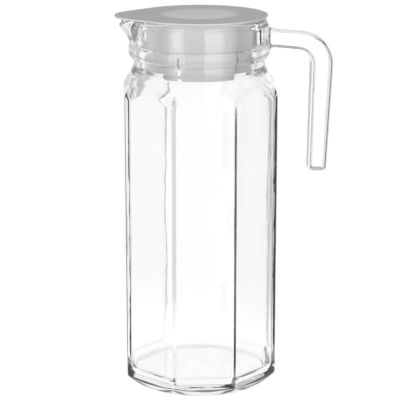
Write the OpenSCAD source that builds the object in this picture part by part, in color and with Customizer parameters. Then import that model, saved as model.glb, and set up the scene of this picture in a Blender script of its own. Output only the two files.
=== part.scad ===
// Glass pitcher with an eight-sided body, a hooked handle and a lid that turns and lifts out.
// The origin is on the axis of the jug, in the plane of its foot.
// The spout points along -X and the handle along +X.

/* [Body] */
// Height of the eight-sided body, from the foot to the start of the shoulder
body_h = 189; // [150:0.5:230]
// Width of the body across two opposite flats
body_flats = 94.8; // [91:0.2:106]
// Thickness of the glass behind each flat
body_wall = 4; // [3:0.25:5.5]
// Thickness of the glass under the inside floor
floor_t = 7; // [5:0.5:12]
// Height of the bevel between the foot and the flats
heel_h = 5.7; // [3:0.1:9]
// How far the lower edge of that bevel is drawn in from the flats
heel_in = 3; // [1:0.2:5]
// How far the round foot lies inside the lower edge of the bevel
foot_in = 0.4; // [0.2:0.1:2]
// Size of the bevel round the inside floor
floor_bevel = 4; // [2:0.5:7]
// How far the long edges between the flats are rounded back, outside and inside
edge_round = 0.3; // [0.1:0.05:1]

/* [Shoulder and neck] */
// Height of the sloping shoulder, from the body to the neck
shoulder_h = 13.3; // [10:0.1:20]
// Thickness of the glass in the shoulder, square to its slope
shoulder_wall = 5; // [4:0.25:6.5]
// Radius of the curve between the shoulder and the neck
shoulder_round = 6; // [2:0.5:9]
// Outside diameter of the neck under the collar
neck_d = 81.8; // [78:0.2:85]
// Height of the neck from the shoulder to the collar
neck_h = 6.2; // [5:0.1:12]
// Bore of the neck
neck_bore = 68; // [64:0.5:70]

/* [Collar, cup and rim] */
// Outside diameter of the collar
collar_d = 88.2; // [87.4:0.2:90]
// Height of the collar
collar_h = 9.3; // [8:0.1:14]
// Radius under the outer edge of the collar
collar_round = 2.8; // [1:0.2:5]
// Outside diameter of the cup where it leaves the collar
cup_d = 86.8; // [84.4:0.2:87.8]
// Height of the cup from the collar to the rim
cup_h = 15.8; // [13:0.1:24]
// Bore of the cup
cup_bore = 73; // [71:0.5:75]
// Height of the inside ledge above the underside of the collar
ledge_rise = 6.9; // [3:0.1:8]
// Outside diameter of the rim
rim_d = 84; // [82:0.2:86]

/* [Spout] */
// How far the tip of the spout stands out from the rim
spout_reach = 8.4; // [6:0.2:11]
// How far the tip of the spout lies below the rim
spout_drop = 4.4; // [2:0.2:6]
// Slope of the underside of the spout, in degrees above level
spout_slope = 52.8; // [46:0.2:60]
// Width of the round trough that the spout is pressed as
spout_w = 30; // [24:0.5:34]
// Thickness of the glass in the spout
spout_wall = 3.5; // [2.5:0.25:4.5]
// Length of the trough, which dies out in the wall of the cup
spout_l = 26; // [20:0.5:32]

/* [Handle] */
// Distance from the axis of the jug to the middle of the grip, at the bend
handle_reach = 76.9; // [68:0.1:92]
// Height of the middle of the handle's root above the top of the collar
handle_rise = 2.6; // [1:0.1:6]
// Height from the middle of the root down to the free end of the grip
handle_drop = 87; // [60:0.2:130]
// Radius of the bend, at the middle of the glass
bend_r = 15.1; // [11:0.1:20]
// Droop of the upper arm, in degrees
arm_droop = 5.3; // [0:0.1:9]
// Lean of the grip towards the body, in degrees
grip_lean = 1.9; // [0:0.1:4]
// Thickness of the handle at its root
root_t = 12.2; // [9:0.1:15]
// Thickness of the handle after the bend
bend_t = 13.7; // [10:0.1:16]
// Thickness of the grip at its free end
end_t = 11.9; // [9:0.1:15]
// Width of the upper arm
arm_w = 16.4; // [12:0.2:20]
// Width of the grip at its free end
end_w = 13.2; // [10:0.2:17]
// Radius of the long edges of the handle
handle_edge = 3.2; // [1.5:0.1:4]
// Size of the bevel round the free end
end_bevel = 3.4; // [1.5:0.1:4]

/* [Lid cover] */
// Diameter of the round part of the cover
cover_d = 85.2; // [80:0.2:90]
// Thickness of the cover
cover_t = 1.4; // [1.2:0.1:3]
// How far the nose of the cover stands out beyond its round part
nose_out = 10; // [6:0.1:14]
// Radius of the tip of the nose
nose_r = 22; // [16:0.5:28]
// Diameter of the shallow dish in the top
dish_d = 42; // [30:0.5:56]
// Depth of the dish
dish_depth = 1.5; // [0.6:0.1:2.4]

/* [Pour drum] */
// Wall of the drum
drum_wall = 1.6; // [1.2:0.1:2.4]
// Wall of the inner sleeve that turns in the plug
sleeve_wall = 1.4; // [1:0.1:1.8]
// Width of the pour window in the drum
window_w = 38; // [24:0.5:42]
// Height of the strip left over the window
window_strip = 4; // [2:0.1:6]
// Radius of the upper corners of the window
window_round = 5.5; // [2:0.5:9]
// Bore of the inner sleeve
sleeve_bore = 59.2; // [54:0.2:59.6]
// Height of the snap lip at the foot of the sleeve
lip_h = 1.4; // [1:0.1:2.5]
// How far the snap lip stands out from the sleeve
lip_out = 0.8; // [0.5:0.1:1]

/* [Grip plug] */
// Length of the plug at its longer tongues
plug_l = 17.4; // [15:0.1:22]
// How much shorter the plug is towards the spout and the handle
tongue_extra = 4.1; // [1:0.1:5]
// Height of each sealing rib above the wall of the plug
rib_out = 0.5; // [0.3:0.05:0.7]
// Height of a sealing rib along the plug
rib_h = 1.2; // [0.8:0.1:2]
// Depth of the first rib below the top of the plug
rib_drop = 5.1; // [3.5:0.1:6]
// Step from one rib to the next
rib_pitch = 3.1; // [2.4:0.1:4]
// Height of the lead-in bevel at the foot of the tongues
lead_h = 3; // [1.5:0.1:3.5]
// Width of the wide slit in each tongue
slit_w = 1.5; // [0.8:0.1:2.5]
// Width of the wide slit at its flared foot
slit_flare = 3.6; // [2.6:0.1:6]
// Height of that flare
flare_h = 5; // [2:0.1:7]
// Width of the narrow slit at the handle end of each tongue
fine_slit_w = 0.8; // [0.5:0.1:1.5]
// Height of the plain band above the slits
slit_band = 2.2; // [1.5:0.1:4]

/* [Fits] */
// Gap between the lid's turning or sliding faces and their neighbours
run_gap = 0.4; // [0.3:0.05:0.5]
// Gap between the ribs of the plug and the bore of the neck
rib_gap = 0.3; // [0.2:0.05:0.5]

/* [Hidden] */
$fn = 96;

// How far each cut runs past the solid that it is made in
overrun = 2;
// Number of flats round the body
flat_count = 8;
// Number of straight steps in each rounded edge of a turned outline
round_steps = 6;
// Part of the rim's wall that each of its two rounded edges takes
rim_round_share = 0.45;
// Part of the spout's wall that its outer lip is rounded by
spout_lip_share = 0.33;
// Parts of the end bevel by which the handle's section shrinks halfway down it and at its foot
half_bevel_share = 0.3;
full_bevel_share = 0.8;
// Part of a sealing rib's height that is flat at its crest
rib_flat_share = 0.33;
// Part of the plug's wall that is left at the foot of its lead-in bevel
lead_wall_share = 0.33;
// Number of sealing ribs
rib_count = 2;
// Steps of the cover's round part, of its nose and of its dish
cover_steps = 80;
nose_steps = 24;
bowl_steps = 8;
// Steps of the handle's bend, and of each rounded edge of its section
bend_steps = 14;
edge_steps = 5;

// Places of the tongues and slits, in degrees round from the spout on both sides
tongue_start = 47.8;
slit_place = 65.3;
tongue_end = 125.1;

// Sizes that follow from the body
apothem = body_flats / 2;
body_r = apothem / cos(180 / flat_count);
edge_r = body_r - edge_round;
inner_apothem = apothem - body_wall;
inner_r = inner_apothem / cos(180 / flat_count);
inner_edge_r = inner_r - edge_round;
bevel_low = apothem - heel_in;
foot_r = bevel_low - foot_in;

// Heights of the glass, from the foot up
neck_z = body_h + shoulder_h;
collar_z = neck_z + neck_h;
cup_z = collar_z + collar_h;
rim_z = cup_z + cup_h;
ledge_z = collar_z + ledge_rise;

// Radii of the glass
neck_r = neck_d / 2;
neck_bore_r = neck_bore / 2;
collar_r = collar_d / 2;
cup_r = cup_d / 2;
cup_bore_r = cup_bore / 2;
rim_r = rim_d / 2;
rim_round = rim_round_share * (rim_r - cup_bore_r);

// The shoulder's slope away from upright, and the line of its inner face
shoulder_lean = atan((body_r - neck_r) / shoulder_h);
shoulder_in_r = body_r - shoulder_wall * cos(shoulder_lean);
shoulder_in_z = body_h - shoulder_wall * sin(shoulder_lean);
inner_shoulder_z = shoulder_in_z + (shoulder_in_r - inner_r) / tan(shoulder_lean);
bore_z = shoulder_in_z + (shoulder_in_r - neck_bore_r) / tan(shoulder_lean);

// The tip of the spout and the turn of its trough away from upright
spout_tip_x = -(rim_r + spout_reach);
spout_tip_z = rim_z - spout_drop;
spout_turn = 90 - spout_slope;
spout_r = spout_w / 2;
spout_lip = spout_lip_share * spout_wall;

// The line of the handle
root_x = neck_bore_r + (cup_r - neck_bore_r) / 2;
root_z = cup_z + handle_rise;
bend_x = handle_reach - bend_r;
arm_end_x = bend_x + bend_r * sin(arm_droop);
bend_z = root_z - bend_r * cos(arm_droop) - (arm_end_x - cup_r) * tan(arm_droop);
grip_end_z = root_z - handle_drop;
grip_top_x = bend_x + bend_r * cos(grip_lean);
grip_top_z = bend_z - bend_r * sin(grip_lean);

// Heights of the lid
cover_z = rim_z + run_gap;
lid_top = cover_z + cover_t;
drum_z = ledge_z + run_gap;
plug_top = drum_z - rib_gap;
plug_z = plug_top - plug_l;
tongue_z = plug_z + tongue_extra;

// Radii of the lid
cover_r = cover_d / 2;
nose_x = cover_r + nose_out - nose_r;
tangent_turn = acos((cover_r - nose_r) / nose_x);
dish_r = dish_d / 2;
drum_r = cup_bore_r - run_gap;
sleeve_in_r = sleeve_bore / 2;
sleeve_r = sleeve_in_r + sleeve_wall;
lip_r = sleeve_r + lip_out;
plug_in_r = sleeve_r + run_gap;
pocket_r = lip_r + run_gap;
rib_r = neck_bore_r - rib_gap;
plug_r = rib_r - rib_out;

// The foot of the sleeve, and the underside of the step that its snap lip catches
sleeve_z = plug_z + tongue_extra + lead_h;
catch_z = sleeve_z + lip_h + run_gap;

// Points of an arc round c, from angle a0 to a1
function arc(c, r, a0, a1, steps) =
    [for (i = [0:steps]) let (a = a0 + (a1 - a0) * i / steps) [c[0] + r * cos(a), c[1] + r * sin(a)]];

// Prism between two opposite flats, drawn in over bevel_h at its foot
module slab(half, low_half, low_z, bevel_h, top_z) {
    rotate([90, 0, 0])
        linear_extrude(height = 2 * (body_r + overrun), center = true)
            polygon([
                [-low_half, low_z],
                [low_half, low_z],
                [half, low_z + bevel_h],
                [half, top_z],
                [-half, top_z],
                [-half, low_z + bevel_h]
            ]);
}

// Eight-sided prism with bevelled lower edges
module octagon_body(half, low_half, low_z, bevel_h, top_z) {
    intersection_for(i = [0:flat_count / 2 - 1])
        rotate([0, 0, i * 360 / flat_count])
            slab(half, low_half, low_z, bevel_h, top_z);
}

// Turned outline of the body: round foot, long edges, sloping shoulder and the curve to the neck
module body_turned() {
    blend_centre = [neck_r + shoulder_round, neck_z + shoulder_round * tan(shoulder_lean / 2)];
    rotate_extrude()
        polygon(concat(
            [[0, 0], [foot_r, 0], [edge_r, heel_h * (edge_r - foot_r) / (body_r + foot_in - foot_r)]],
            [[edge_r, body_h + edge_round / tan(shoulder_lean)]],
            arc(blend_centre, shoulder_round, 180 + shoulder_lean, 180, round_steps),
            [[neck_r, collar_z + collar_round], [0, collar_z + collar_round]]
        ));
}

// Turned outline of the collar, the cup and the rim
module cup_turned() {
    rotate_extrude()
        polygon(concat(
            [[0, collar_z]],
            arc([collar_r - collar_round, collar_z + collar_round], collar_round, -90, 0, round_steps),
            [[collar_r, cup_z], [cup_r, cup_z]],
            arc([rim_r - rim_round, rim_z - rim_round], rim_round, 0, 90, round_steps),
            [[0, rim_z]]
        ));
}

// Room inside the body, from the floor up into the neck
module body_room() {
    top_z = bore_z + shoulder_wall / tan(shoulder_lean);
    intersection() {
        rotate_extrude()
            polygon([
                [0, floor_t],
                [inner_edge_r, floor_t],
                [inner_edge_r, inner_shoulder_z + edge_round / tan(shoulder_lean)],
                [neck_bore_r - shoulder_wall, top_z],
                [0, top_z]
            ]);
        octagon_body(inner_apothem, inner_apothem - floor_bevel, floor_t, floor_bevel, top_z + overrun);
    }
}

// Room inside the neck and the cup, to above the rim
module neck_room() {
    rotate_extrude()
        polygon(concat(
            [[0, inner_shoulder_z], [neck_bore_r, inner_shoulder_z]],
            [[neck_bore_r, ledge_z], [cup_bore_r, ledge_z]],
            arc([cup_bore_r + rim_round, rim_z - rim_round], rim_round, 180, 90, round_steps),
            [[cup_bore_r + rim_round, rim_z + overrun], [0, rim_z + overrun]]
        ));
}

// Places its children at the tip of the spout, with the trough lying along their Z
module at_spout() {
    translate([spout_tip_x, 0, spout_tip_z])
        rotate([0, -spout_turn, 0])
            translate([spout_r, 0, 0])
                children();
}

// Round bar of the spout, cut level with the rim
module spout_bar() {
    intersection() {
        at_spout()
            rotate_extrude()
                polygon(concat(
                    [[0, -spout_l], [spout_r, -spout_l]],
                    arc([spout_r - spout_lip, -spout_lip], spout_lip, 0, 90, round_steps),
                    [[0, 0]]
                ));
        translate([-2 * collar_r, -collar_r, ledge_z])
            cube([2 * collar_r, 2 * collar_r, rim_z - ledge_z]);
    }
}

// Round trough through the spout, which stays above the inside ledge
module spout_trough() {
    intersection() {
        at_spout()
            translate([0, 0, -2 * spout_l])
                cylinder(r = spout_r - spout_wall, h = 2 * spout_l + overrun);
        translate([-2 * collar_r, -collar_r, drum_z])
            cube([2 * collar_r, 2 * collar_r, rim_z - drum_z + spout_r]);
    }
}

module jug_body() {
    color("azure", 0.5)
        difference() {
            union() {
                intersection() {
                    body_turned();
                    octagon_body(apothem, bevel_low, 0, heel_h, cup_z);
                }
                cup_turned();
                spout_bar();
            }
            body_room();
            neck_room();
            spout_trough();
        }
}

// One corner of the handle's section, as places across and along its thickness
function corner(sy, st, w, t, e, a0) =
    [for (i = [0:edge_steps]) let (a = a0 + 90 * i / edge_steps)
        [sy * (w / 2 - e) + e * cos(a), st * (t / 2 - e) + e * sin(a)]];

// Rounded section of the handle, w wide and t thick
function section(w, t, e) = concat(
    corner(1, 1, w, t, e, 0),
    corner(-1, 1, w, t, e, 90),
    corner(-1, -1, w, t, e, 180),
    corner(1, -1, w, t, e, 270)
);

// A ring of the handle: its section stood square to the line at [x, z], whose outer side faces angle a
function ring(x, z, a, w, t, e) =
    [for (p = section(w, t, e)) [x + p[1] * cos(a), p[0], z + p[1] * sin(a)]];

// Point of the grip at a height, its thickness and its width there
function grip_x(z) = grip_top_x - (grip_top_z - z) * tan(grip_lean);
function grip_share(z) = (grip_top_z - z) / (grip_top_z - grip_end_z);
function grip_t(z) = bend_t + (end_t - bend_t) * grip_share(z);
function grip_w(z) = arm_w + (end_w - arm_w) * grip_share(z);

// Angle of the outer side at step i of the bend
function bend_a(i) = 90 - arm_droop - (90 - arm_droop + grip_lean) * i / bend_steps;

module handle_bar() {
    half_bevel = half_bevel_share * end_bevel;
    full_bevel = full_bevel_share * end_bevel;
    rings = concat(
        [ring(
            root_x, root_z + (cup_r - root_x) * tan(arm_droop), 90 - arm_droop,
            arm_w, root_t, handle_edge
        )],
        [for (i = [0:bend_steps])
            ring(
                bend_x + bend_r * cos(bend_a(i)),
                bend_z + bend_r * sin(bend_a(i)),
                bend_a(i),
                arm_w,
                (root_t + bend_t) / 2 + (bend_t - root_t) / 2 * i / bend_steps,
                handle_edge
            )],
        [ring(
            grip_x(grip_end_z + end_bevel), grip_end_z + end_bevel, -grip_lean,
            grip_w(grip_end_z + end_bevel), grip_t(grip_end_z + end_bevel), handle_edge
        )],
        [ring(
            grip_x(grip_end_z + end_bevel / 4), grip_end_z + end_bevel / 4, -grip_lean,
            end_w - 2 * half_bevel, end_t - 2 * half_bevel, handle_edge - half_bevel_share * handle_edge
        )],
        [ring(
            grip_x(grip_end_z), grip_end_z, -grip_lean,
            end_w - 2 * full_bevel, end_t - 2 * full_bevel, handle_edge - full_bevel_share * handle_edge
        )]
    );
    n = len(rings[0]);
    last = len(rings) - 1;
    polyhedron(
        points = [for (r = rings) for (p = r) p],
        faces = concat(
            [[for (j = [0:n - 1]) j]],
            [for (i = [0:last - 1]) for (j = [0:n - 1]) [i * n + j, (i + 1) * n + j, i * n + (j + 1) % n]],
            [for (i = [0:last - 1]) for (j = [0:n - 1])
                [i * n + (j + 1) % n, (i + 1) * n + j, (i + 1) * n + (j + 1) % n]],
            [[for (j = [n - 1:-1:0]) last * n + j]]
        )
    );
}

module handle() {
    color("azure", 0.5)
        difference() {
            handle_bar();
            cup_turned();
        }
}

// Outline of the cover: its round part and the nose, joined by straight sides that touch both arcs
module cover_outline() {
    polygon(concat(
        arc([0, 0], cover_r, tangent_turn - 180, 180 - tangent_turn, cover_steps),
        arc([-nose_x, 0], nose_r, 180 - tangent_turn, 180 + tangent_turn, nose_steps)
    ));
}

// Half outline of the dish, a shallow bowl of radius r sunk below z, from the middle out
function bowl(r, z) =
    [for (i = [0:bowl_steps]) let (s = i / bowl_steps) [r * s, z - dish_depth * (1 - s * s)]];

module lid_cover() {
    under_r = dish_r + cover_t / 2;
    color("gainsboro", 0.9)
        difference() {
            union() {
                translate([0, 0, cover_z])
                    linear_extrude(height = cover_t)
                        cover_outline();
                rotate_extrude()
                    polygon(concat(
                        bowl(under_r, cover_z),
                        [[under_r, cover_z + cover_t / 2], [0, cover_z + cover_t / 2]]
                    ));
            }
            rotate_extrude()
                polygon(concat(
                    bowl(dish_r, lid_top),
                    [[dish_r, lid_top + overrun], [0, lid_top + overrun]]
                ));
        }
}

// Outline of the pour window: square foot and rounded upper corners
module window_outline() {
    low = drum_z + drum_wall;
    high = cover_z - window_strip;
    translate([-window_w / 2, low])
        square([window_w, high - low - window_round]);
    translate([window_round - window_w / 2, low])
        square([window_w - 2 * window_round, high - low]);
    for (side = [-1, 1])
        translate([side * (window_w / 2 - window_round), high - window_round])
            circle(r = window_round);
}

module pour_drum() {
    color("gainsboro", 0.9)
        difference() {
            rotate_extrude()
                polygon([
                    [sleeve_in_r, sleeve_z],
                    [sleeve_r, sleeve_z],
                    [lip_r, sleeve_z + lip_h / 2],
                    [lip_r, sleeve_z + lip_h],
                    [sleeve_r, sleeve_z + lip_h],
                    [sleeve_r, drum_z],
                    [drum_r, drum_z],
                    [drum_r, cover_z],
                    [drum_r - drum_wall, cover_z],
                    [drum_r - drum_wall, drum_z + drum_wall],
                    [sleeve_in_r, drum_z + drum_wall]
                ]);
            translate([-drum_r - overrun, 0, 0])
                rotate([90, 0, 90])
                    linear_extrude(height = drum_r)
                        window_outline();
        }
}

// Half outline of a sealing rib, from its top down
function rib(z) = [
    [plug_r, z + rib_h / 2],
    [rib_r, z + rib_flat_share * rib_h / 2],
    [rib_r, z - rib_flat_share * rib_h / 2],
    [plug_r, z - rib_h / 2]
];

// Radial cut at an angle, with an outline of places across and along Z
module radial_cut(a, points) {
    rotate([0, 0, a])
        rotate([90, 0, 90])
            linear_extrude(height = neck_bore_r + overrun)
                polygon(points);
}

// Wedge over a span of angles each side of a middle, from below the plug up to the short foot
module short_foot(middle, half_span) {
    far = 2 * neck_bore_r;
    translate([0, 0, plug_z - overrun])
        linear_extrude(height = tongue_z - plug_z + overrun)
            polygon([
                [0, 0],
                [far * cos(middle - half_span), far * sin(middle - half_span)],
                [far * cos(middle + half_span), far * sin(middle + half_span)]
            ]);
}

module grip_plug() {
    slit_top = plug_top - slit_band;
    color("gainsboro", 0.9)
        difference() {
            rotate_extrude()
                polygon(concat(
                    [[plug_in_r, plug_top], [plug_r, plug_top]],
                    [for (i = [0:rib_count - 1]) for (p = rib(plug_top - rib_drop - i * rib_pitch)) p],
                    [[plug_r, plug_z + lead_h]],
                    [[pocket_r + lead_wall_share * (plug_r - pocket_r), plug_z], [pocket_r, plug_z]],
                    [[pocket_r, catch_z], [plug_in_r, catch_z]]
                ));
            short_foot(180, tongue_start);
            short_foot(0, 180 - tongue_end);
            for (side = [-1, 1]) {
                radial_cut(180 + side * slit_place, [
                    [-slit_w / 2, slit_top],
                    [-slit_w / 2, plug_z + flare_h],
                    [-slit_flare / 2, plug_z - overrun],
                    [slit_flare / 2, plug_z - overrun],
                    [slit_w / 2, plug_z + flare_h],
                    [slit_w / 2, slit_top]
                ]);
                radial_cut(180 + side * tongue_end, [
                    [-fine_slit_w / 2, slit_top],
                    [-fine_slit_w / 2, plug_z - overrun],
                    [fine_slit_w / 2, plug_z - overrun],
                    [fine_slit_w / 2, slit_top]
                ]);
            }
        }
}

jug_body();
handle();
lid_cover();
pour_drum();
grip_plug();
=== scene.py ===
import math

import bpy
import numpy as np
from mathutils import Euler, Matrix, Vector


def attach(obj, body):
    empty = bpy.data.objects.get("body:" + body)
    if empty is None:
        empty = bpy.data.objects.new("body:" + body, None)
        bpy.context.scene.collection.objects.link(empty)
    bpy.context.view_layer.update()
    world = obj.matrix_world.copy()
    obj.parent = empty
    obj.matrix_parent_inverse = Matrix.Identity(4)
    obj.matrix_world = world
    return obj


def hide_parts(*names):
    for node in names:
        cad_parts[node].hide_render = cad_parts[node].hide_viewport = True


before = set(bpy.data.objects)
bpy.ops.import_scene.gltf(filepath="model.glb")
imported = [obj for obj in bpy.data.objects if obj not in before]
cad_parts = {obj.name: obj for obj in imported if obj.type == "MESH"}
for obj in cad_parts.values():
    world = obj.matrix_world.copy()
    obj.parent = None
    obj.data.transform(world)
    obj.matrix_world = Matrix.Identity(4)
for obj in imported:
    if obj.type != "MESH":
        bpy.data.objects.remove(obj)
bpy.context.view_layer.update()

# Lengths in the pieces below are millimetres, turned to metres when a mesh is made
mm = 0.001


# Smooth minimum: the lower of a and b, rounded off over a difference of k
def softMin(a, b, k):
    near = np.maximum(1 - np.abs(a - b) / k, 0)
    return np.minimum(a, b) - k * near ** 2 / 4


# Smooth maximum: the higher of a and b, filled in over a difference of k
def softMax(a, b, k):
    return -softMin(-a, -b, k)


# Eases from 0 to 1 as x goes from a to b: 3t^2 - 2t^3
def ease(x, a, b):
    t = np.clip((x - a) / (b - a), 0, 1)
    return t * t * (3 - 2 * t)


# Angle from the spout, which points along -X, between -pi and pi
def fromSpout(turn):
    return turn % (2 * math.pi) - math.pi


# Points of an arc round (r, z), from one angle to another, in degrees
def arcRows(r, z, radius, start, end, count):
    a = np.radians(np.linspace(start, end, count))
    return np.stack([r + radius * np.cos(a), z + radius * np.sin(a)], axis=-1)


# A profile of (radius, height) pairs as one radius and one height for each row
def turned(profile):
    return profile[:, :1], profile[:, 1:]


# Rows round the axis as a grid of points: x = r cos(turn), y = r sin(turn), z. The radius and the
# height of a row may be one number each, or differ by direction
def aroundAxis(rows, turn):
    whole = [np.broadcast_arrays(r, z, turn[None, :]) for r, z in rows]
    r, z, a = [np.concatenate(part) for part in zip(*whole)]
    return np.stack([r * np.cos(a), r * np.sin(a), z], axis=-1)


# Rows of points on a closed loop, with an end point at each end, as one shut skin
# grid has the shape (rows, columns, 3); the last column meets the first
def skin(name, grid, firstPole, lastPole):
    rows, columns = grid.shape[:2]
    points = np.concatenate([grid.reshape(-1, 3), [firstPole, lastPole]]) * mm
    at = np.arange(rows * columns).reshape(rows, columns)
    ahead = np.roll(at, -1, axis=1)
    quads = np.stack([at[:-1], ahead[:-1], ahead[1:], at[1:]], axis=-1).reshape(-1, 4)
    first = np.full(columns, rows * columns)
    startFan = np.stack([first, ahead[0], at[0]], axis=-1)
    endFan = np.stack([first + 1, at[-1], ahead[-1]], axis=-1)
    mesh = bpy.data.meshes.new(name)
    mesh.from_pydata(points.tolist(), [], quads.tolist() + startFan.tolist() + endFan.tolist())
    mesh.polygons.foreach_set("use_smooth", np.ones(len(mesh.polygons), dtype=bool))
    mesh.update()
    piece = bpy.data.objects.new(name, mesh)
    bpy.context.scene.collection.objects.link(piece)
    return piece


jug = {
    "flats": 94.8,          # across two opposite flats
    "height": 189.0,        # foot to the lower edge of the shoulder
    "foot": 88.0,
    "footRound": 0.9,
    "heelHeight": 5.7,
    "heelIn": 3.0,
    "wall": 4.0,
    "floor": 7.0,
    "floorBevel": 4.0,
    "shoulderHeight": 13.3,
    "shoulderWall": 5.0,
    "shoulderRound": 6.0,
    "neck": 81.8,
    "neckHeight": 6.2,
    "neckBore": 68.0,
    "collar": 88.2,
    "collarHeight": 9.3,
    "collarRound": 2.8,
    "collarStep": 2.2,      # height over which the collar draws in to the cup
    "cup": 86.8,
    "cupHeight": 15.8,
    "cupBore": 73.0,
    "cupEase": (5.0, 1.2),  # how far below the rim the cup starts and ends its taper
    "ledgeRise": 6.9,
    "ledgeCorner": 0.7,     # radius in the corner of the ledge
    "ledgeEdge": 0.6,       # radius of the ledge's edge over the neck
    "rim": 84.0,
    "rimRound": 2.475,
    # blends between two surfaces, as the difference that they are rounded off over
    "edgeSoft": 0.5,        # long edges between the flats
    "innerEdgeSoft": 0.8,
    "archSoft": 3.0,        # flats into the shoulder
    "archSpare": 0.2,       # how far past that blend the round outline of the body stands
    "heelSoft": 0.9,        # heel into the flats
    "heelConeSoft": 0.8,    # round heel into the round outline of the body
    "heelConeSpare": 0.4,   # how far past the long edges the round heel would reach
    "shoulderSoft": 1.6,    # round outline of the body into the shoulder
    "hollowShare": 0.62,    # of shoulderRound, for the hollow curve into the neck
    "innerShoulderSoft": 2.5,
    "innerNeckSoft": 2.2,
    "floorSoft": 2.4,
    "smoke": 1.8,           # how fast the glass darkens what is seen through it, per metre
    "ripple": 0.00035,
    # painted glow given to rays lost in the glass, each from a height up: foot, body, shoulder,
    # collar, cup
    "paintedGlowTones": ((0, 0.3), (14, 0.03), (190, 0.7), (207, 0.12), (221, 0.7)),
}

spout = {
    "reach": 8.4,
    "drop": 4.4,
    "slope": 52.8,
    "width": 30.0,
    "wall": 3.5,
    "lip": 1.7,
    "lipEase": (11, 20),    # degrees from the spout between which its lip turns into the rim
    "lipSoft": 0.8,         # blend of the spout's end face into the level rim
    "soft": 2.2,            # blend where the spout grows out of the cup
    "innerSoft": 1.4,
}

collarHeight = jug["height"] + jug["shoulderHeight"] + jug["neckHeight"]
cupHeight = collarHeight + jug["collarHeight"]
rimHeight = cupHeight + jug["cupHeight"]
ledgeHeight = collarHeight + jug["ledgeRise"]

toCorner = math.cos(math.pi / 8)    # half the width over the flats by half the width over the edges
halfFlats = jug["flats"] / 2
corner = halfFlats / toCorner       # distance of the long edges from the axis
shoulderSlope = (corner - jug["neck"] / 2) / jug["shoulderHeight"]

spoutSlant = math.radians(90 - spout["slope"])
spoutHalf = spout["width"] / 2
spoutTip = jug["rim"] / 2 + spout["reach"]
spoutTipHeight = rimHeight - spout["drop"]


# Directions round the axis, closer together near the eight edges: each eighth runs from its
# edge to the middle of a flat as 22.5 degrees times (0.22 u + 0.78 u^2)
def turns(perSide=22):
    u = np.arange(perSide) / perSide
    half = 22.5 * (0.22 * u + 0.78 * u ** 2)
    side = np.concatenate([-half[:0:-1], half, [22.5]])
    eighths = 22.5 + 45 * np.arange(8)
    return np.radians((eighths[:, None] + side[None, :]).ravel())


# Distance to a rounded octagon with flats at half: half / cos(angle from the nearest flat),
# and where two flats meet, the smooth minimum of both
def octagon(turn, half, soft):
    step = math.pi / 4
    off = (turn + step / 2) % step - step / 2
    here = half / np.cos(off)
    beside = half / np.cos(step - np.abs(off))
    return softMin(here, beside, soft)


# Round outline of the outside at height z: heel cone, long edges, shoulder cone, and the
# hollow curve into the neck, each as a radius, joined by smooth minima and maxima
def outerTurned(z):
    foot = jug["foot"] / 2
    heel = foot + z * (corner + jug["heelConeSpare"] - foot) / jug["heelHeight"]
    body = corner + jug["archSoft"] + jug["archSpare"]
    shoulder = corner - (z - jug["height"]) * shoulderSlope
    lower = softMin(softMin(heel, body, jug["heelConeSoft"]), shoulder, jug["shoulderSoft"])
    return softMax(lower, jug["neck"] / 2, jug["shoulderRound"] * jug["hollowShare"])


# Distance of the outside from the axis, in every direction, up to the neck: the smooth minimum of
# the round outline and the octagon, which is narrower in the heel, less a quarter round at the foot
def outerBody(turn, z):
    heel = halfFlats - jug["heelIn"] * (1 - z / jug["heelHeight"])
    flats = octagon(turn, softMin(heel, halfFlats, jug["heelSoft"]), jug["edgeSoft"])
    under = np.clip(1 - z / jug["footRound"], 0, 1)
    rounded = jug["footRound"] * (1 - np.sqrt(1 - under ** 2))
    return softMin(outerTurned(z), flats, jug["archSoft"]) - rounded


# Round outline of the inside at height z: the inner long edges, the inner shoulder a wall's
# thickness inside the outer one, and the neck's bore, each as a radius
def innerTurned(z):
    lean = math.atan(shoulderSlope)
    r = corner - jug["shoulderWall"] * math.cos(lean)
    h = jug["height"] - jug["shoulderWall"] * math.sin(lean)
    body = (halfFlats - jug["wall"]) / toCorner + jug["archSoft"] + jug["archSpare"]
    upper = softMin(body, r - (z - h) * shoulderSlope, jug["innerShoulderSoft"])
    return softMax(upper, jug["neckBore"] / 2, jug["innerNeckSoft"])


# Distance of the inner wall from the axis, from the floor up to the neck: the smooth minimum of
# the round outline and the inner octagon, which is narrower in the bevel over the floor
def innerBody(turn, z):
    full = halfFlats - jug["wall"]
    half = softMin(full - jug["floorBevel"] + (z - jug["floor"]), full, jug["floorSoft"])
    return softMin(innerTurned(z), octagon(turn, half, jug["innerEdgeSoft"]), jug["archSoft"])


# Where a level ray from the axis leaves the slanted round bar of the spout, of the given
# radius, at height z: the far root of the ellipse (R cos t - c)^2 / a^2 + (R sin t)^2 / b^2 = 1
def spoutReach(off, z, radius):
    below = spoutTipHeight + spoutHalf * math.sin(spoutSlant) - z
    centre = spoutTip - spoutHalf * math.cos(spoutSlant) - below * math.tan(spoutSlant)
    a, b = radius / math.cos(spoutSlant), radius
    square = (np.cos(off) / a) ** 2 + (np.sin(off) / b) ** 2
    middle = centre * np.cos(off) / a ** 2
    inside = middle ** 2 - square * ((centre / a) ** 2 - 1)
    reach = (middle + np.sqrt(np.maximum(inside, 0))) / square
    return np.where((inside > 0) & (np.cos(off) > 0), reach, 0)


# Height of the spout's end face over its edge of the given radius, by direction: points of a
# circle tilted by the spout's slope, read back by their angle from the spout. Beyond the spout
# it is well above the rim
def spoutEdge(off, radius):
    beta = np.linspace(0, math.pi, 400)
    along = -radius * np.cos(beta)
    across = radius * np.sin(beta)
    out = spoutTip - spoutHalf * math.cos(spoutSlant) - along * math.cos(spoutSlant)
    height = spoutTipHeight + (spoutHalf + along) * math.sin(spoutSlant)
    rising = np.maximum.accumulate(np.arctan2(across, out))
    return np.interp(np.abs(off), rising, height, right=rimHeight + 9)


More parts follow.
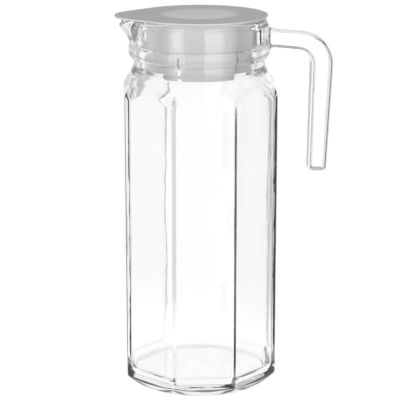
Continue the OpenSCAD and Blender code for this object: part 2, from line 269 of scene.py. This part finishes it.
# The jug's one skin of glass, from the middle of its foot up the outside, over the rim and the
# spout's lip, and down the inside to the middle of its floor: a distance R(turn, row) and a height
def makeJug():
    turn = turns()
    off = fromSpout(turn)
    direction = turn[None, :]
    floor = jug["floor"]
    rows = []

    # underside, as shares of the foot's outline
    shares = np.array([0.3, 0.6, 0.85, 0.97])[:, None]
    rows.append((shares * outerBody(direction, 0.0), 0.0))
    # heel, flats, arches and shoulder, with more rows where the outline bends
    flatFoot = jug["heelHeight"] + 1.1
    archFoot, archTop = jug["height"] - 3, jug["height"] + 7.5
    z = np.concatenate([
        jug["footRound"] * (1 - np.cos(np.linspace(0, math.pi / 2, 7))),
        np.linspace(jug["footRound"], flatFoot, 20)[1:],
        np.linspace(flatFoot, archFoot, 14)[1:],
        np.linspace(archFoot, archTop, 30)[1:],
        np.linspace(archTop, collarHeight, 26)[1:],
    ])[:, None]
    rows.append((outerBody(direction, z), z))

    # collar with its rounded underside, and the small step up to the cup
    collar, cup, curve = jug["collar"] / 2, jug["cup"] / 2, jug["collarRound"]
    stepFoot = cupHeight - jug["collarStep"]
    upward = np.linspace(stepFoot, cupHeight + 0.1, 9)
    inward = (collar - cup) * ease(upward, stepFoot, cupHeight)
    rows.append(turned(np.concatenate([
        arcRows(collar - curve, collarHeight + curve, curve, -90, 0, 9),
        np.stack([collar - inward, upward], axis=-1),
    ])))

    # how the lip leans by direction: mix is 1 on the spout and 0 along the rim
    near, far = np.radians(spout["lipEase"])
    mix = 1 - ease(np.abs(off), near, far)
    lip = jug["rimRound"] + (spout["lip"] - jug["rimRound"]) * mix
    upward = 1 + (math.cos(spoutSlant) - 1) * mix
    outward = math.sin(spoutSlant) * mix
    outerTop, innerTop = [
        softMin(spoutEdge(off, radius), rimHeight, spout["lipSoft"]) - lip * upward
        for radius in (spoutHalf, spoutHalf - spout["wall"])
    ]
    # cup and the outside of the spout, drawn up to the lip
    start = cupHeight + 0.15
    z = start + (outerTop - start) * np.linspace(0, 1, 30)[:, None]
    low, high = [rimHeight - drop for drop in jug["cupEase"]]
    cupLine = cup - (jug["cup"] - jug["rim"]) / 2 * ease(z, low, high)
    outside = softMax(cupLine, spoutReach(off, z, spoutHalf), spout["soft"])
    rows.append((outside, z))
    # inside of the cup and the trough, from the lip's other foot down to the ledge's corner
    bore = jug["cupBore"] / 2
    stop = ledgeHeight + 0.9
    zIn = innerTop + (stop - innerTop) * np.linspace(0, 1, 26)[:, None]
    trough = spoutReach(off, zIn, spoutHalf - spout["wall"])
    inside = softMax(bore, trough, spout["innerSoft"])
    # lip: half an oval from the outer wall to the inner one, leaning with the spout
    a = np.linspace(0, math.pi, 15)[1:-1, None]
    middle, half = (outside[-1] + inside[0]) / 2, (outside[-1] - inside[0]) / 2
    middleZ, halfZ = (outerTop + innerTop) / 2, (outerTop - innerTop) / 2
    rows.append((
        middle + half * np.cos(a) + lip * outward * np.sin(a),
        middleZ + halfZ * np.cos(a) + lip * upward * np.sin(a),
    ))
    rows.append((inside, zIn))

    # ledge and neck bore
    neck, hollow, edge = jug["neckBore"] / 2, jug["ledgeCorner"], jug["ledgeEdge"]
    rows.append(turned(np.concatenate([
        arcRows(bore - hollow, ledgeHeight + hollow, hollow, -15, -90, 4),
        arcRows(neck + edge, ledgeHeight - edge, edge, 90, 180, 5),
        [[neck, collarHeight + 2.5]],
    ])))
    # inner shoulder, inner flats and the bevel round the floor
    archMiddle, archFoot, bevelTop = jug["height"] + 4, jug["height"] - 5, 2 * floor
    z = np.concatenate([
        np.linspace(collarHeight - 1, archMiddle, 24),
        np.linspace(archMiddle, archFoot, 22)[1:],
        np.linspace(archFoot, bevelTop, 12)[1:],
        np.linspace(bevelTop, floor, 14)[1:],
    ])[:, None]
    rows.append((innerBody(direction, z), z))
    rows.append((shares[::-1] * innerBody(direction, floor), floor))
    return skin("jugGlass", aroundAxis(rows, turn), (0, 0, 0), (0, 0, floor))


handle = {
    "reach": 76.9,
    "rise": 2.6,
    "drop": 87.0,
    "bendRadius": 15.1,
    "droop": 5.3,
    "lean": 1.9,
    "rootThick": 12.2,
    "bendThick": 13.7,
    "endThick": 11.9,
    "armWide": 16.4,
    "endWide": 13.2,
    "edge": 3.2,            # radius of its four long edges
    "rootExtra": 0.4,       # added to the thickness at the very root
    "rootFlare": 1.1,
    "flareLength": 5.0,
    "endRound": 5.2,
    "endLeft": 0.42,        # share of the section that is left at the foot of the round end
    "seatGap": 0.04,        # between the root's face and the glass of the jug
    "seatEase": (0.2, 1.2), # how far under the top of the collar that face steps out onto it
    "armStart": 0.4,        # how far out of the cup the first whole section stands
    "armLeast": 0.02,       # least distance of the arm's rows from that face
    "smoke": 5.0,
    "ripple": 0.0003,
    # painted glow given to rays lost in the handle's glass
    "paintedGlowTones": ((0, 0.6),),
}


# The handle: a rectangle with round corners, carried along the straight arm, the round bend and
# the straight grip. One end is set against the cup and the other closes as sqrt(1 - u^2)
def makeHandle():
    droop, lean = math.radians(handle["droop"]), math.radians(handle["lean"])
    cup, bend, endRound = jug["cup"] / 2, handle["bendRadius"], handle["endRound"]
    # line of the middle of the glass
    rootHeight = cupHeight + handle["rise"]
    bottom = rootHeight - handle["drop"]
    bendX = handle["reach"] - bend
    armEnd = bendX + bend * math.sin(droop)
    bendZ = rootHeight - bend * math.cos(droop) - (armEnd - cup) * math.tan(droop)
    gripTopX, gripTopZ = bendX + bend * math.cos(lean), bendZ - bend * math.sin(lean)
    armX = np.linspace(cup + handle["armStart"], armEnd, 16)[:-1]
    turn = np.linspace(math.pi / 2 - droop, -lean, 34)
    fall = np.concatenate([
        np.linspace(gripTopZ, bottom + endRound, 30)[1:],
        bottom + endRound * (1 - np.sin(np.linspace(0, math.pi / 2, 14)[1:-1])),
    ])
    x = np.concatenate([
        armX,
        bendX + bend * np.cos(turn),
        gripTopX - (gripTopZ - fall) * math.tan(lean),
    ])
    z = np.concatenate([
        rootHeight - (armX - cup) * math.tan(droop),
        bendZ + bend * np.sin(turn),
        fall,
    ])
    facing = np.concatenate([
        np.full(len(armX), math.pi / 2 - droop),
        turn,
        np.full(len(fall), -lean),
    ])

    # thickness and width by the length along that line, and how the round end shuts them
    along = np.concatenate([[0], np.cumsum(np.hypot(np.diff(x), np.diff(z)))])
    total = along[-1]
    bendStart, bendStop = along[len(armX)], along[len(armX) + len(turn) - 1]
    rootThick, bendThick = handle["rootThick"], handle["bendThick"]
    thick = np.interp(along, [0, bendStart, bendStop, total], [
        rootThick + handle["rootExtra"],
        (rootThick + bendThick) / 2,
        bendThick,
        handle["endThick"],
    ])
    armWide, endWide = handle["armWide"], handle["endWide"]
    wide = np.interp(along, [0, bendStop, total], [armWide, armWide, endWide])
    flare = handle["rootFlare"] * np.maximum(1 - along / handle["flareLength"], 0) ** 2
    past = np.maximum((along - (total - endRound)) / endRound, 0)
    shut = np.sqrt(np.maximum(1 - past ** 2, 0))
    shut = handle["endLeft"] + (1 - handle["endLeft"]) * shut

    # section: each corner's arc, then three points of the flat after it
    corners = np.array([(1, 1), (-1, 1), (-1, -1), (1, -1)])
    flat = np.array([0.08, 0.5, 0.92])[:, None]
    signs, arcs = [], []
    for k in range(4):
        here, after = corners[k], corners[(k + 1) % 4]
        a = np.radians(90 * k + np.linspace(0, 90, 10))
        arc = np.stack([np.cos(a), np.sin(a)], axis=-1)
        signs += [np.tile(here, (len(arc), 1)), here + (after - here) * flat]
        arcs += [arc, np.tile(arc[-1], (len(flat), 1))]
    signs, arcs = np.concatenate(signs), np.concatenate(arcs)
    e = (handle["edge"] * shut)[:, None]
    y = -(signs[:, 0] * (((wide / 2 + flare) * shut)[:, None] - e) + e * arcs[:, 0])
    t = signs[:, 1] * (((thick / 2 + flare) * shut)[:, None] - e) + e * arcs[:, 1]
    armX = x[:, None] + t * np.cos(facing)[:, None]
    armZ = z[:, None] + t * np.sin(facing)[:, None]

    # root's face, laid on the round outside of the collar and the cup
    seat = np.array([0.25, 0.5, 0.75, 0.92, 1.0])[:, None]
    rootY = seat * y[0]
    rootZ = rootHeight + seat * (armZ[0] - rootHeight)
    high, low = [cupHeight - drop for drop in handle["seatEase"]]
    under = ease(rootZ, high, low)
    outside = cup + handle["seatGap"] + (jug["collar"] - jug["cup"]) / 2 * under
    rootX = np.sqrt(outside ** 2 - rootY ** 2)
    armX = np.maximum(armX, rootX[-1] + handle["armLeast"])
    grid = np.concatenate([
        np.stack([rootX, rootY, rootZ], axis=-1),
        np.stack([armX, y, armZ], axis=-1)[1:],
    ])
    return skin("handleGlass", grid, (cup + handle["seatGap"], 0, rootHeight), (x[-1], 0, bottom))


cover = {
    "across": 85.2,
    "thick": 1.4,
    "lift": 0.4,
    "noseOut": 10.0,
    "noseRadius": 22.0,
    "dish": 42.0,
    "dishDepth": 1.5,
    "dishSoft": 0.16,       # how softly the dish runs out into the flat
    "edgeRound": 0.45,
    "colour": (0.36, 0.367, 0.37),
    # painted light: a lighter tone painted into the dish, standing in for the light its shallow
    # bowl catches
    "dishPaintedLight": (0.55, 0.557, 0.56),
    "dishEase": (0.85, 1.3),    # shares of the dish's radius between which its painted light runs out
    # painted highlight: a lighter tone painted along the rounded edge, where the normal isn't
    # upright
    "edgePaintedHighlight": (0.57, 0.575, 0.575),
    "edgeEase": (0.2, 0.7),     # upright parts of the normal between which the edge's painted highlight runs out
    "roughness": 0.42,
    "cloud": 0.03,
    "through": 0.2,
}

coverHeight = rimHeight + cover["lift"]


# Distance from the axis to the cover's edge: a circle, and the two lines that touch it and the
# nose's circle, and the nose's circle itself
def coverReach(turn):
    big, small = cover["across"] / 2, cover["noseRadius"]
    centre = big + cover["noseOut"] - small
    touch = math.acos((big - small) / centre)
    off = np.abs(fromSpout(turn))
    line = big / np.cos(off - touch)
    nose = centre * np.cos(off) + np.sqrt(np.maximum(small ** 2 - (centre * np.sin(off)) ** 2, 0))
    tip = math.atan2(small * math.sin(touch), centre + small * math.cos(touch))
    return np.where(off > touch, big, np.where(off > tip, line, nose))


# The cover: rows from the middle of its top over the dish, the flat, the rounded edge and back
# along the underside, each row a circle that turns into the outline with its distance out.
# The dish sinks by its depth times 1 - (r / R)^2
def makeCover():
    turn = np.linspace(0, 2 * math.pi, 240, endpoint=False)
    top = coverHeight + cover["thick"]
    depth, e = cover["dishDepth"], cover["edgeRound"]
    part = np.array([0.12, 0.3, 0.5, 0.66, 0.78, 0.87, 0.93, 0.97, 1.0, 1.03, 1.06, 1.09])[:, None]
    sunk = depth * softMax(1 - part ** 2, 0, cover["dishSoft"])
    dish = cover["dish"] / 2 * part
    under = (cover["dish"] / 2 + cover["thick"] / 2) * part
    flat = np.linspace(0, 1, 9)[1:-1, None]
    a = np.linspace(0, math.pi / 2, 6)[:, None]
    edge = coverReach(turn) - e
    rows = [
        (dish, top - sunk),
        (dish[-1] + (edge - dish[-1]) * flat, top),
        (edge + e * np.sin(a), top - e + e * np.cos(a)),
        (edge + e * np.cos(a), coverHeight + e - e * np.sin(a)),
        (under[-1] + (edge - under[-1]) * flat[::-1], coverHeight),
        (under[::-1], coverHeight - sunk[::-1]),
    ]
    grid = aroundAxis(rows, turn)[::-1]
    return skin("coverPlate", grid, (0, 0, coverHeight - depth), (0, 0, top - depth))


# A shader value: it wraps one socket, a sum on it adds Math nodes, and node() adds any other
class Wire:
    def __init__(self, tree, socket=None):
        self.tree, self.socket = tree, socket

    def node(self, kind, settings=None, values=None, out=0):
        made = self.tree.nodes.new(kind)
        for key, value in (settings or {}).items():
            setattr(made, key, value)
        for key, value in (values or {}).items():
            if isinstance(value, Wire):
                self.tree.links.new(value.socket, made.inputs[key])
            else:
                made.inputs[key].default_value = value
        return Wire(self.tree, made.outputs[out] if made.outputs else None)

    def math(self, operation, a, b=0.0):
        return self.node("ShaderNodeMath", {"operation": operation}, {0: a, 1: b})

    def __add__(self, other):
        return self.math("ADD", self, other)

    def __sub__(self, other):
        return self.math("SUBTRACT", self, other)

    def __rsub__(self, other):
        return self.math("SUBTRACT", other, self)

    def __mul__(self, other):
        return self.math("MULTIPLY", self, other)

    __radd__ = __add__
    __rmul__ = __mul__

    # Eases from 0 to 1 as this value goes from low to high
    def rise(self, low, high):
        settings = {"interpolation_type": "SMOOTHSTEP"}
        values = {"Value": self, "From Min": low, "From Max": high}
        return self.node("ShaderNodeMapRange", settings, values)

    # Blends from one colour to another by this value
    def blend(self, low, high):
        return self.node("ShaderNodeMix", {"data_type": "RGBA"}, {0: self, 6: low, 7: high}, 2)

    # The x, y and z of this vector
    def axes(self):
        split = self.node("ShaderNodeSeparateXYZ", None, {0: self}).socket.node
        return [Wire(self.tree, out) for out in split.outputs]

    # Noise of a size at this vector
    def noise(self, scale, detail, rough=0.5):
        values = {"Vector": self, "Scale": scale, "Detail": detail, "Roughness": rough}
        return self.node("ShaderNodeTexNoise", None, values)

    # This vector squeezed along the height, which draws a pattern on it out by as much
    def squeeze(self, share):
        values = {"Vector": self, "Scale": (1.0, 1.0, share)}
        return self.node("ShaderNodeMapping", {"vector_type": "POINT"}, values)


# An empty material, and the start of its wires
def blank(name):
    material = bpy.data.materials.new(name)
    material.use_nodes = True
    material.node_tree.nodes.clear()
    return material, Wire(material.node_tree)


# Gives an object one material
def dress(piece, material):
    piece.data.materials.clear()
    piece.data.materials.append(material)


# A colour made lighter or darker by a factor, with its alpha
def shade(colour, factor):
    return tuple(min(c * factor, 1) for c in colour) + (1,)


glass = {
    "ior": 1.5,
    "tint": (0.02, 0.08, 0.06, 1),
    "slowRipple": (46.0, 0.35),     # noise scale, and how far it is drawn out along the height
    "smallRipple": (130.0, 0.6),
    "smallShare": 0.16,
    "rippleDetail": 1.0,
    "smudge": (60.0, 3.0),          # noise scale and detail
    "smudgeEase": (0.45, 0.8),
    "smudgeRoughness": 0.012,
    "lostAfter": 3.5,               # turns in the glass, between two whole numbers
    "glowEase": 6,                  # height over which one painted glow tone eases into the next
}


# Fire-polished glass: clear, with the slow ripples that pressing leaves, drawn out along the
# height. Ripples are noise(slow) + 0.16 noise(small)
def glassFinish(name, sizes):
    material, start = blank(name)
    spot = start.node("ShaderNodeTexCoord", None, None, "Object")
    slow, small = [
        spot.squeeze(share).noise(scale, glass["rippleDetail"])
        for scale, share in (glass["slowRipple"], glass["smallRipple"])
    ]
    bump = start.node("ShaderNodeBump", None, {
        "Strength": 1.0, "Distance": sizes["ripple"], "Height": slow + small * glass["smallShare"],
    }, "Normal")
    smudge = spot.noise(*glass["smudge"]).rise(*glass["smudgeEase"])
    clear = start.node("ShaderNodeBsdfPrincipled", None, {
        "Base Color": (1, 1, 1, 1), "Roughness": smudge * glass["smudgeRoughness"],
        "IOR": glass["ior"], "Transmission Weight": 1.0, "Normal": bump,
    })
    # light that has been turned back in the glass four times is no longer followed: it ends in a
    # painted glow, a set grey that stands in for its light and eases from tone to tone by height
    height = spot.axes()[2]
    tones = [(z * mm, (tone, tone, tone, 1)) for z, tone in sizes["paintedGlowTones"]]
    grey = tones[0][1]
    for z, tone in tones[1:]:
        grey = height.rise(z - glass["glowEase"] * mm, z).blend(grey, tone)
    # painted glow: an emission that stands in for light, though the glass is no lamp
    paintedGlow = start.node("ShaderNodeBsdfPrincipled", None, {
        "Base Color": (0, 0, 0, 1), "Specular IOR Level": 0.0, "Emission Strength": 1.0,
        "Emission Color": grey,
    })
    depth = start.node("ShaderNodeLightPath", None, None, "Glossy Depth")
    lost = start.math("GREATER_THAN", depth, glass["lostAfter"])
    smoke = {"Color": glass["tint"], "Density": sizes["smoke"]}
    start.node("ShaderNodeOutputMaterial", None, {
        "Surface": start.node("ShaderNodeMixShader", None, {0: lost, 1: clear, 2: paintedGlow}),
        "Volume": start.node("ShaderNodeVolumeAbsorption", None, smoke),
    })
    return material


plastic = {
    "ior": 1.49,
    "cloudNoise": (38.0, 3.0, 0.55),    # scale, detail and roughness
    "cloudEase": (0.3, 0.7),
    "grainNoise": (900.0, 2.0),
    "grainStrength": 0.35,
    "grainDepth": 0.00004,
    "grainRoughness": 0.08,             # how much the roughness differs from grain to grain
    "throughDepth": 0.004,
}

drum = {"colour": (0.82, 0.83, 0.83), "roughness": 0.20, "cloud": 0.03, "through": 0.45}
plug = {"colour": (0.85, 0.855, 0.85), "roughness": 0.26, "cloud": 0.03, "through": 0.2}


# Milky moulded plastic: satin, faintly cloudy, with the fine grain of the mould; tones(spot, paint)
# may lay other colours, here the cover's painted light, over the cloudy one
def plasticFinish(name, sizes, tones=None):
    material, start = blank(name)
    spot = start.node("ShaderNodeTexCoord", None, None, "Object")
    dark, light = [shade(sizes["colour"], 1 + side * sizes["cloud"]) for side in (-1, 1)]
    paint = spot.noise(*plastic["cloudNoise"]).rise(*plastic["cloudEase"]).blend(dark, light)
    if tones:
        paint = tones(spot, paint)
    grain = spot.noise(*plastic["grainNoise"])
    least = sizes["roughness"] - plastic["grainRoughness"] / 2
    bump = start.node("ShaderNodeBump", None, {
        "Strength": plastic["grainStrength"], "Distance": plastic["grainDepth"], "Height": grain,
    }, "Normal")
    shader = start.node("ShaderNodeBsdfPrincipled", None, {
        "Base Color": paint, "Roughness": grain * plastic["grainRoughness"] + least,
        "IOR": plastic["ior"], "Normal": bump,
        "Subsurface Weight": sizes["through"], "Subsurface Radius": (1.0, 1.0, 1.0),
        "Subsurface Scale": plastic["throughDepth"],
    })
    start.node("ShaderNodeOutputMaterial", None, {"Surface": shader})
    return material


# Painted light on the thin cover: its dish is painted lighter than the flat, and its edge, where
# the normal isn't upright, gets a painted highlight
def coverPaintedLight(spot, paint):
    x, y = spot.axes()[:2]
    fromAxis = spot.math("SQRT", x * x + y * y)
    low, high = [cover["dish"] / 2 * mm * share for share in cover["dishEase"]]
    # painted light: the dish is painted lighter, running out just past its radius
    paint = fromAxis.rise(low, high).blend(cover["dishPaintedLight"] + (1,), paint)
    # painted highlight along the edge, chosen by how upright the normal is
    up = spot.node("ShaderNodeTexCoord", None, None, "Normal").axes()[2]
    upright = spot.math("ABSOLUTE", up).rise(*cover["edgeEase"])
    return upright.blend(cover["edgePaintedHighlight"] + (1,), paint)


print("jug")
jugPiece = makeJug()
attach(jugPiece, "jug")
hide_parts("jug_body")
dress(jugPiece, glassFinish("jugGlassFinish", jug))

print("handle")
handlePiece = makeHandle()
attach(handlePiece, "jug")
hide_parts("handle")
dress(handlePiece, glassFinish("handleGlassFinish", handle))

print("lid")
coverPiece = makeCover()
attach(coverPiece, "lid")
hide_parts("lid_cover")
dress(coverPiece, plasticFinish("coverPlastic", cover, coverPaintedLight))
dress(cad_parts["pour_drum"], plasticFinish("drumPlastic", drum))
dress(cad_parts["grip_plug"], plasticFinish("plugPlastic", plug))

# From here on lengths are metres

view = {
    "place": (-0.073, -1.053, 0.383),
    "pitch": 14.182,
    "turn": 3.966,
    "lens": 153.675,
    "sensor": 36,
    "shift": 0.00175,
}

ground = {
    "centre": 0.02,
    "inner": 0.08,
    "outer": 0.2,
    "spare": 0.03,          # how far it runs on past the distance at which it has faded
    "drop": 0.0003,         # how far it lies under the foot
    "tone": 0.25,
    "roughness": 0.7,
    "glow": 0.9,
}

studio = {
    "backdrop": 1.04,
    "zenith": 0.75,
    "zenithEase": (0.1, 0.95),
    # dark places round the horizon: degrees from straight behind the jug, half width of the
    # dark, half width with its soft sides, and how much light it takes away
    "gaps": (
        (-13, 3, 7, 0.42),
        (-33, 4, 10, 0.45),
        (50, 10, 24, 0.3),
        (80, 8, 16, 0.4),
        (104, 10, 17, 1.0),
        (-110, 5, 12, 0.9),
    ),
    "gapEase": (0.5, 0.8),  # heights on the sphere of directions between which they run out
    # dark ring: its height on that sphere, where its dark and its soft sides end, and its share
    "ring": 0.47,
    "ringEase": (0.03, 0.1),
    "ringDark": 0.75,
    # soft screens: name, degrees from the camera's line, width, height and power
    "screens": (
        ("screenLeft", -39, 0.56, 2.0, 6.7),
        ("screenRight", 26, 0.95, 2.0, 9.2),
    ),
    "screenAway": 1.6,
    "screenHeight": 0.5,
}


# A pale round floor that fades out with distance: its mask eases from 1 to 0 between two radii
def makeFloor():
    rows, columns = 30, 96
    turn = np.linspace(0, 2 * math.pi, columns, endpoint=False)
    r = np.linspace(ground["centre"], ground["outer"] + ground["spare"], rows)[:, None]
    grid = aroundAxis([(r, -ground["drop"])], turn).reshape(-1, 3)
    at = np.arange(rows * columns).reshape(rows, columns)
    ahead = np.roll(at, -1, axis=1)
    quads = np.stack([at[:-1], at[1:], ahead[1:], ahead[:-1]], axis=-1).reshape(-1, 4)
    mesh = bpy.data.meshes.new("floor")
    mesh.from_pydata(grid.tolist(), [], quads.tolist() + [at[0].tolist()])
    floor = bpy.data.objects.new("floor", mesh)
    bpy.context.scene.collection.objects.link(floor)
    material, start = blank("floorPaint")
    spot = start.node("ShaderNodeTexCoord", None, None, "Object")
    length = start.node("ShaderNodeVectorMath", {"operation": "LENGTH"}, {0: spot}, "Value")
    fade = length.rise(ground["inner"], ground["outer"])
    paint = start.node("ShaderNodeBsdfPrincipled", None, {
        "Base Color": (ground["tone"],) * 3 + (1,), "Roughness": ground["roughness"],
        "Specular IOR Level": 0.0,
        "Emission Color": (1, 1, 1, 1), "Emission Strength": ground["glow"],
    })
    clear = start.node("ShaderNodeBsdfTransparent")
    shader = start.node("ShaderNodeMixShader", None, {0: fade, 1: paint, 2: clear})
    start.node("ShaderNodeOutputMaterial", None, {"Surface": shader})
    dress(floor, material)


# The room's light by direction: pale all round, darker overhead, with a dark ring above the
# horizon and dark places at set bearings. What the camera sees is plain
def makeRoom():
    world = bpy.data.worlds.new("studioRoom")
    bpy.context.scene.world = world
    world.use_nodes = True
    world.node_tree.nodes.clear()
    start = Wire(world.node_tree)
    x, y, z = start.node("ShaderNodeTexCoord", None, None, "Generated").axes()
    light = 1 - z.rise(*studio["zenithEase"]) * (1 - studio["zenith"])
    ring = 1 - start.math("ABSOLUTE", z - studio["ring"]).rise(*studio["ringEase"])
    light = light * (1 - ring * studio["ringDark"])
    azimuth = start.math("ARCTAN2", x, y) - math.radians(view["turn"])
    level = 1 - start.math("ABSOLUTE", z).rise(*studio["gapEase"])
    for place, dark, soft, share in studio["gaps"]:
        near = start.math("COSINE", azimuth - math.radians(place))
        gap = near.rise(math.cos(math.radians(soft)), math.cos(math.radians(dark)))
        light = light * (1 - gap * level * share)
    seen = start.node("ShaderNodeLightPath", None, None, "Is Camera Ray")
    glow = light * (1 - seen) + seen * studio["backdrop"]
    shader = start.node("ShaderNodeBackground", None, {"Color": (1, 1, 1, 1), "Strength": glow})
    start.node("ShaderNodeOutputWorld", None, {"Surface": shader})


# A tall soft screen beside the camera that shines at the jug, at an angle from the camera's line
def softScreen(name, angle, wide, high, power):
    light = bpy.data.lights.new(name, "AREA")
    light.shape, light.size, light.size_y, light.energy = "RECTANGLE", wide, high, power
    screen = bpy.data.objects.new(name, light)
    bpy.context.scene.collection.objects.link(screen)
    bearing = math.radians(angle - view["turn"])
    away, height = studio["screenAway"], studio["screenHeight"]
    screen.location = (away * math.sin(bearing), -away * math.cos(bearing), height)
    aim = Vector((0, 0, height)) - screen.location
    screen.rotation_euler = aim.to_track_quat("-Z", "Y").to_euler()
    screen.visible_camera = False


# Camera at the photographer's place
def makeCamera():
    lens = bpy.data.cameras.new("camera")
    lens.lens, lens.sensor_width, lens.shift_x = view["lens"], view["sensor"], view["shift"]
    camera = bpy.data.objects.new("camera", lens)
    bpy.context.scene.collection.objects.link(camera)
    camera.location = view["place"]
    pitch, turn = math.radians(90 - view["pitch"]), math.radians(view["turn"])
    camera.rotation_euler = Euler((pitch, 0, -turn))
    bpy.context.scene.camera = camera


print("floor and light")
makeFloor()
makeRoom()
for screen in studio["screens"]:
    softScreen(*screen)
makeCamera()
bpy.context.scene.view_settings.view_transform = "Standard"

print("done")
